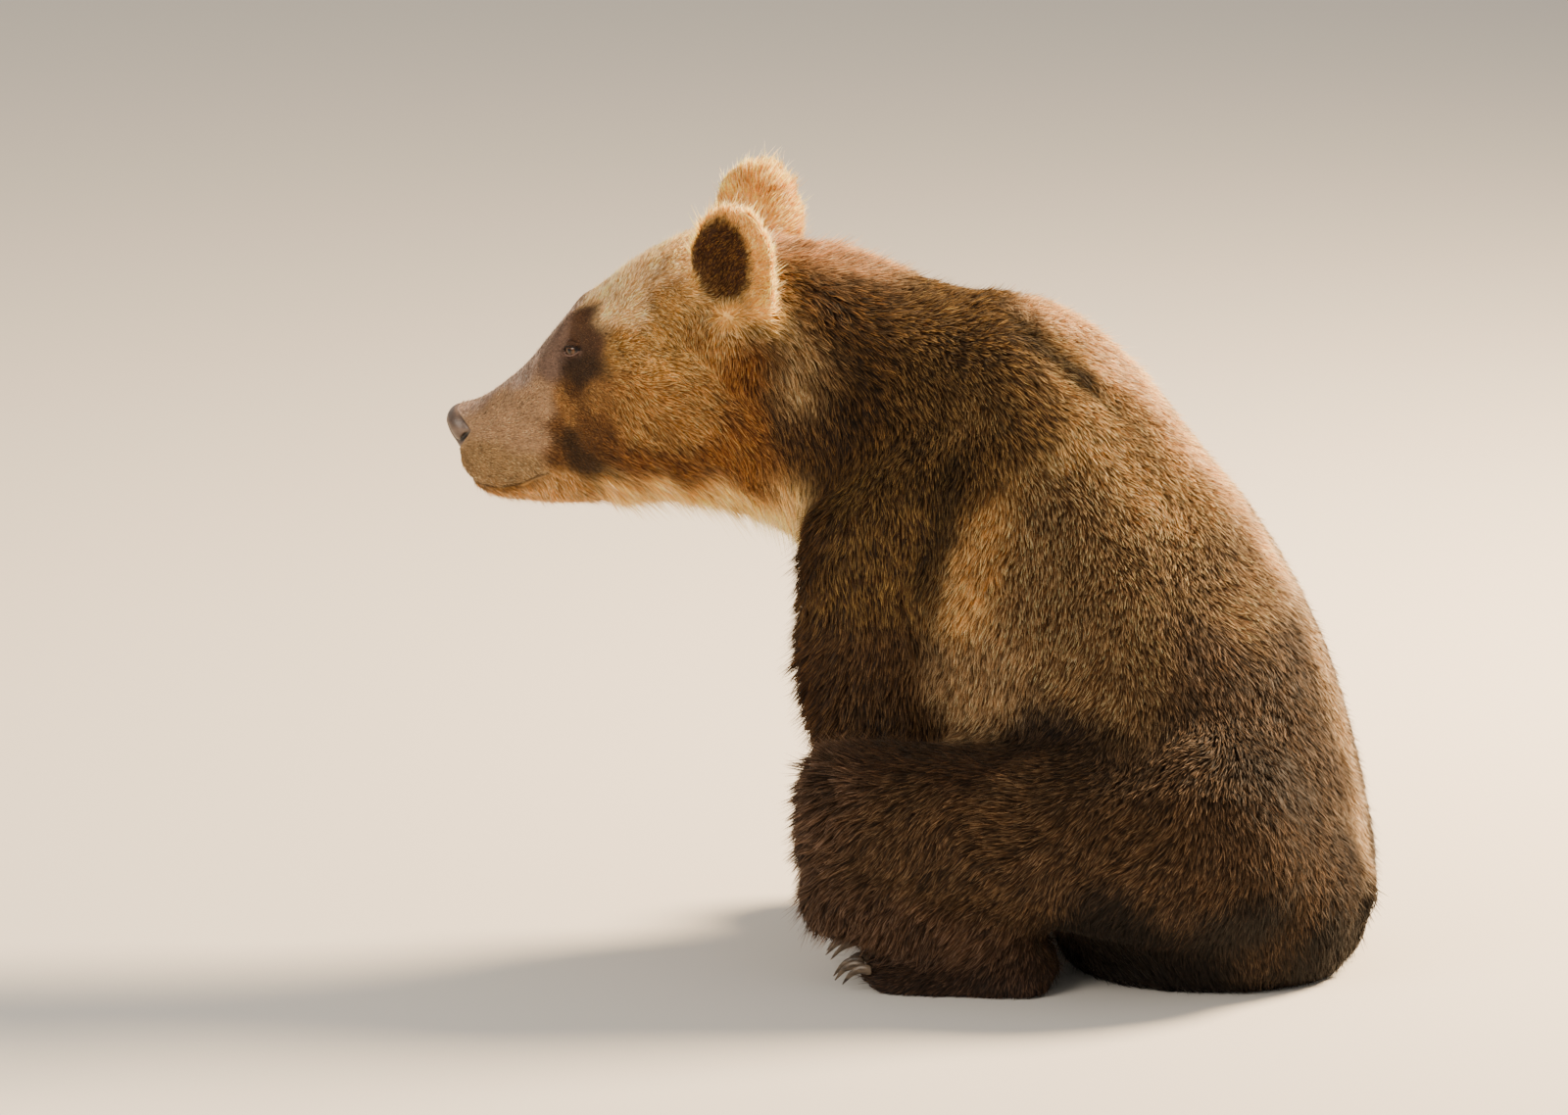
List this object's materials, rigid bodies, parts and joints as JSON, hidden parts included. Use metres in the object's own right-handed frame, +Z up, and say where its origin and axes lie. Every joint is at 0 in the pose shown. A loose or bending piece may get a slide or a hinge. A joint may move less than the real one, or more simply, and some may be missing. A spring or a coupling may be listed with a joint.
{
  "type": "grizzly bear",
  "caption": "Young grizzly bear sitting upright with its forelegs between its raised knees, looking ahead with its mouth closed, as a still life-size model.",
  "frame": {"origin": "middle of the footprint, on the floor the bear sits on", "axes": "+Z up, the bear faces -Y, its own left side is +X"},
  "size_m": [0.562, 1.0112, 0.8329],
  "materials": {
    "head_coat": "short straw-gold fur",
    "neck_coat": "shaggy brown fur with tan tips",
    "flank_coat": "dense grizzled golden-brown fur",
    "arm_coat": "dark brown fur",
    "leg_coat": "dark reddish-brown fur, damp in places",
    "ear_coat": "fluffy orange-gold fur",
    "nose_pad": "bare, slightly moist skin",
    "eye": "wet dark brown eye",
    "claw_horn": "smooth horn"
  },
  "bodies": {
    "root": {"head": "head_coat", "left_ear": "ear_coat", "left_eye": "eye", "left_fore_claw_1": "claw_horn", "left_fore_claw_2": "claw_horn", "left_fore_claw_3": "claw_horn", "left_fore_claw_4": "claw_horn", "left_fore_claw_5": "claw_horn", "left_forearm": "arm_coat", "left_forepaw": "leg_coat", "left_hind_claw_1": "claw_horn", "left_hind_claw_2": "claw_horn", "left_hind_claw_3": "claw_horn", "left_hind_claw_4": "claw_horn", "left_hind_claw_5": "claw_horn", "left_hind_foot": "leg_coat", "left_shin": "leg_coat", "left_thigh": "leg_coat", "left_upper_arm": "arm_coat", "lower_jaw": "head_coat", "neck": "neck_coat", "nose": "nose_pad", "right_ear": "ear_coat", "right_eye": "eye", "right_fore_claw_1": "claw_horn", "right_fore_claw_2": "claw_horn", "right_fore_claw_3": "claw_horn", "right_fore_claw_4": "claw_horn", "right_fore_claw_5": "claw_horn", "right_forearm": "arm_coat", "right_forepaw": "leg_coat", "right_hind_claw_1": "claw_horn", "right_hind_claw_2": "claw_horn", "right_hind_claw_3": "claw_horn", "right_hind_claw_4": "claw_horn", "right_hind_claw_5": "claw_horn", "right_hind_foot": "leg_coat", "right_shin": "leg_coat", "right_thigh": "leg_coat", "right_upper_arm": "arm_coat", "tail": "flank_coat", "trunk": "flank_coat"}
  },
  "joints": []
}
